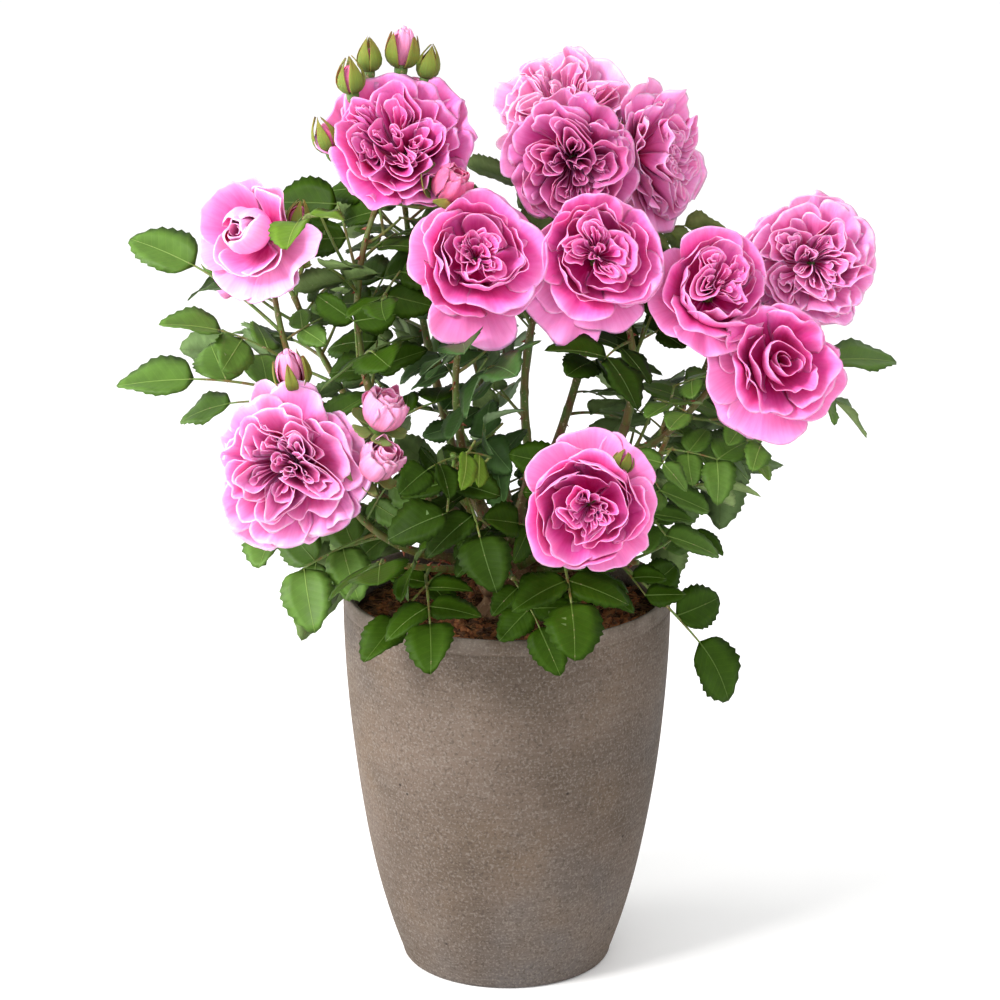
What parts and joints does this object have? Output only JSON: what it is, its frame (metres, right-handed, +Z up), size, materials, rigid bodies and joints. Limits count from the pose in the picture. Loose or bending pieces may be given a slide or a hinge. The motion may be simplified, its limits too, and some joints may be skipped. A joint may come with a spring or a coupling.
{
  "type": "potted rose bush",
  "caption": "Patio rose in a tapered clay pot: canes from a short rootstock carry leafy shoots and sprays of full, many-petalled blooms and buds.",
  "frame": {"origin": "middle of the pot's flat underside, on the ground", "axes": "+Z up through the pot's axis; -Y is the plant's best side, with +X to the right of it"},
  "size_m": [0.5043, 0.3852, 0.6288],
  "materials": {
    "fibre_clay": "matte grey-brown fibre clay with fine speckle, faint horizontal brushing and a light line under the rim",
    "potting_mix": "coarse reddish-brown bark and coir, matte",
    "old_bark": "rough grey-brown bark with shallow furrows",
    "cane": "smooth green cane flushed with reddish brown, with thorns, satin",
    "leaf": "deep green leaf with paler veins and a grey-green underside, semi-gloss",
    "petal": "soft mauve-pink petals, deeper in the folds and paler at the edges, velvety"
  },
  "bodies": {
    "root": {"pot": "fibre_clay", "potting_mix": "potting_mix", "rootstock": "old_bark", "top_left_cane": "cane", "left_cane": "cane", "centre_left_cane": "cane", "top_centre_cane": "cane", "right_inner_cane": "cane", "right_low_cane": "cane", "lower_left_cane": "cane", "back_top_cane": "cane", "back_left_cane": "cane", "back_centre_cane": "cane", "back_high_cane": "cane", "back_right_cane": "cane", "top_left_blooms": "petal", "left_blooms": "petal", "centre_left_blooms": "petal", "top_centre_blooms": "petal", "right_inner_blooms": "petal", "right_outer_blooms": "petal", "lower_left_blooms": "petal", "lower_centre_blooms": "petal", "back_top_blooms": "petal", "back_left_blooms": "petal", "back_centre_blooms": "petal", "back_high_blooms": "petal", "back_right_blooms": "petal", "low_back_left_blooms": "petal", "top_left_leaves": "leaf", "left_leaves": "leaf", "centre_left_leaves": "leaf", "top_centre_leaves": "leaf", "right_inner_leaves": "leaf", "right_outer_leaves": "leaf", "right_low_leaves": "leaf", "lower_left_leaves": "leaf", "lower_centre_leaves": "leaf", "middle_leaves": "leaf", "low_left_leaves": "leaf", "low_front_leaves": "leaf", "low_right_leaves": "leaf", "back_top_leaves": "leaf", "back_left_leaves": "leaf", "back_centre_leaves": "leaf", "back_high_leaves": "leaf", "back_right_leaves": "leaf", "low_back_left_leaves": "leaf", "low_back_leaves": "leaf", "low_back_right_leaves": "leaf"}
  },
  "joints": []
}
